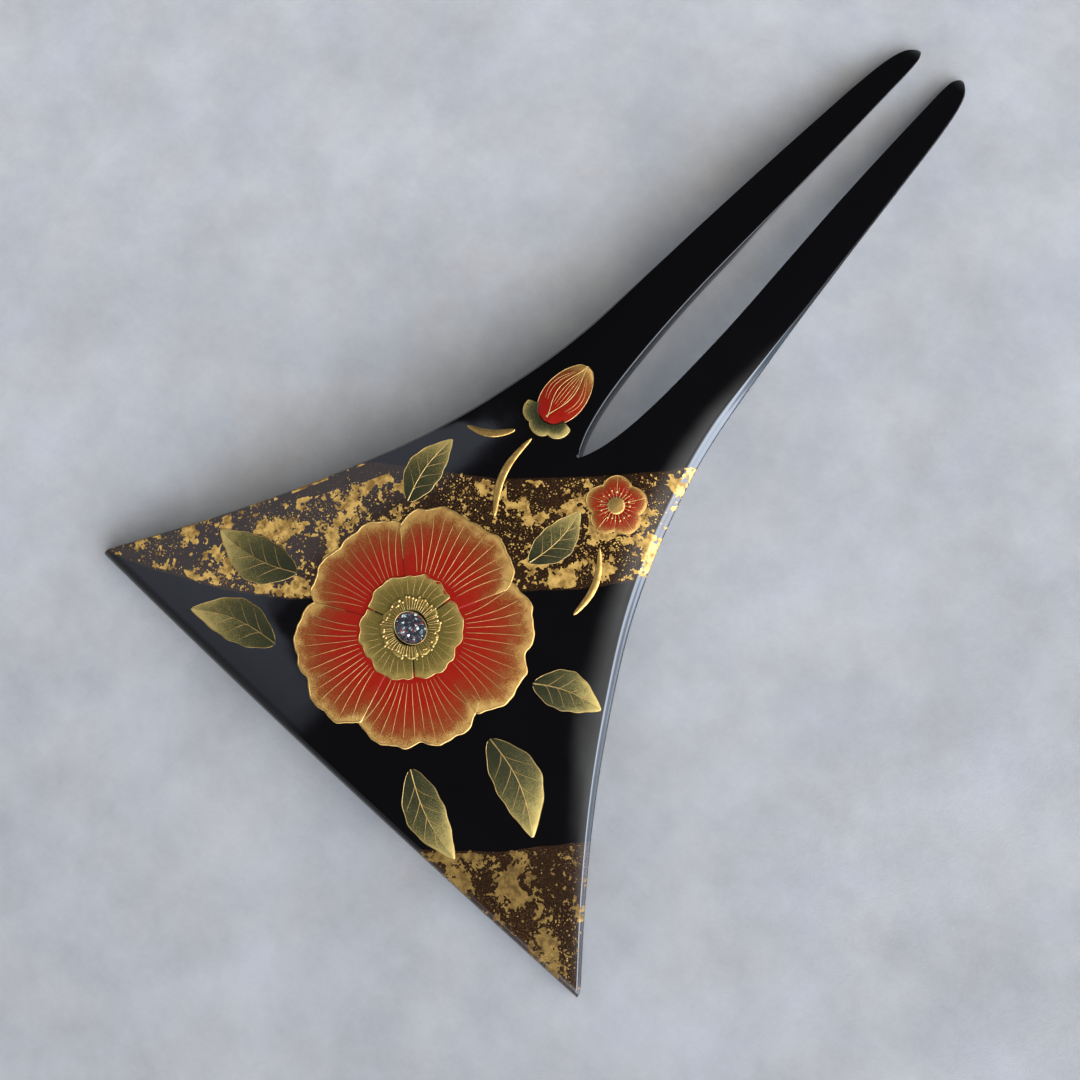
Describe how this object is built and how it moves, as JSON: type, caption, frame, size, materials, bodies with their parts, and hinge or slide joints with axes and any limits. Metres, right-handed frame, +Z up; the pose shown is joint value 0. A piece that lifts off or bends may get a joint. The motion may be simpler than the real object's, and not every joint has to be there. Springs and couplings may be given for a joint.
{
  "type": "kanzashi hair pin",
  "caption": "Plectrum-shaped kanzashi: an arched lacquered wooden blade with a wide flat head, a pointed slot and two prongs that hold a bun, with a raised flower picture.",
  "frame": {"origin": "centre of the bounding box at the surface that the pin lies on", "axes": "+Y from the straight head edge towards the prong tips, +X across the blade, +Z up out of the decorated face"},
  "size_m": [0.1046, 0.15, 0.0111],
  "materials": {
    "black_lacquer": "deep black lacquer over wood, polished to a mirror gloss",
    "red_gold_lacquer": "vermilion lacquer shading to sprinkled gold at the rims, satin",
    "olive_gold_lacquer": "olive lacquer dusted with gold, satin",
    "leaf_lacquer": "olive green lacquer fading to gold dust, satin",
    "gold_powder": "burnished sprinkled gold powder",
    "crushed_shell": "crushed blue-green shell under clear lacquer"
  },
  "bodies": {
    "root": {"body": "black_lacquer", "petal_1": "red_gold_lacquer", "petal_2": "red_gold_lacquer", "petal_3": "red_gold_lacquer", "petal_4": "red_gold_lacquer", "petal_5": "red_gold_lacquer", "inner_petal_1": "olive_gold_lacquer", "inner_petal_2": "olive_gold_lacquer", "inner_petal_3": "olive_gold_lacquer", "stamens": "gold_powder", "shell_inlay": "crushed_shell", "leaf_1": "leaf_lacquer", "leaf_2": "leaf_lacquer", "leaf_3": "leaf_lacquer", "leaf_4": "leaf_lacquer", "leaf_5": "leaf_lacquer", "leaf_6": "leaf_lacquer", "leaf_7": "leaf_lacquer", "bud": "red_gold_lacquer", "calyx": "leaf_lacquer", "plum": "red_gold_lacquer", "plum_heart": "gold_powder", "stem_1": "gold_powder", "stem_2": "gold_powder", "stem_3": "gold_powder"}
  },
  "joints": []
}
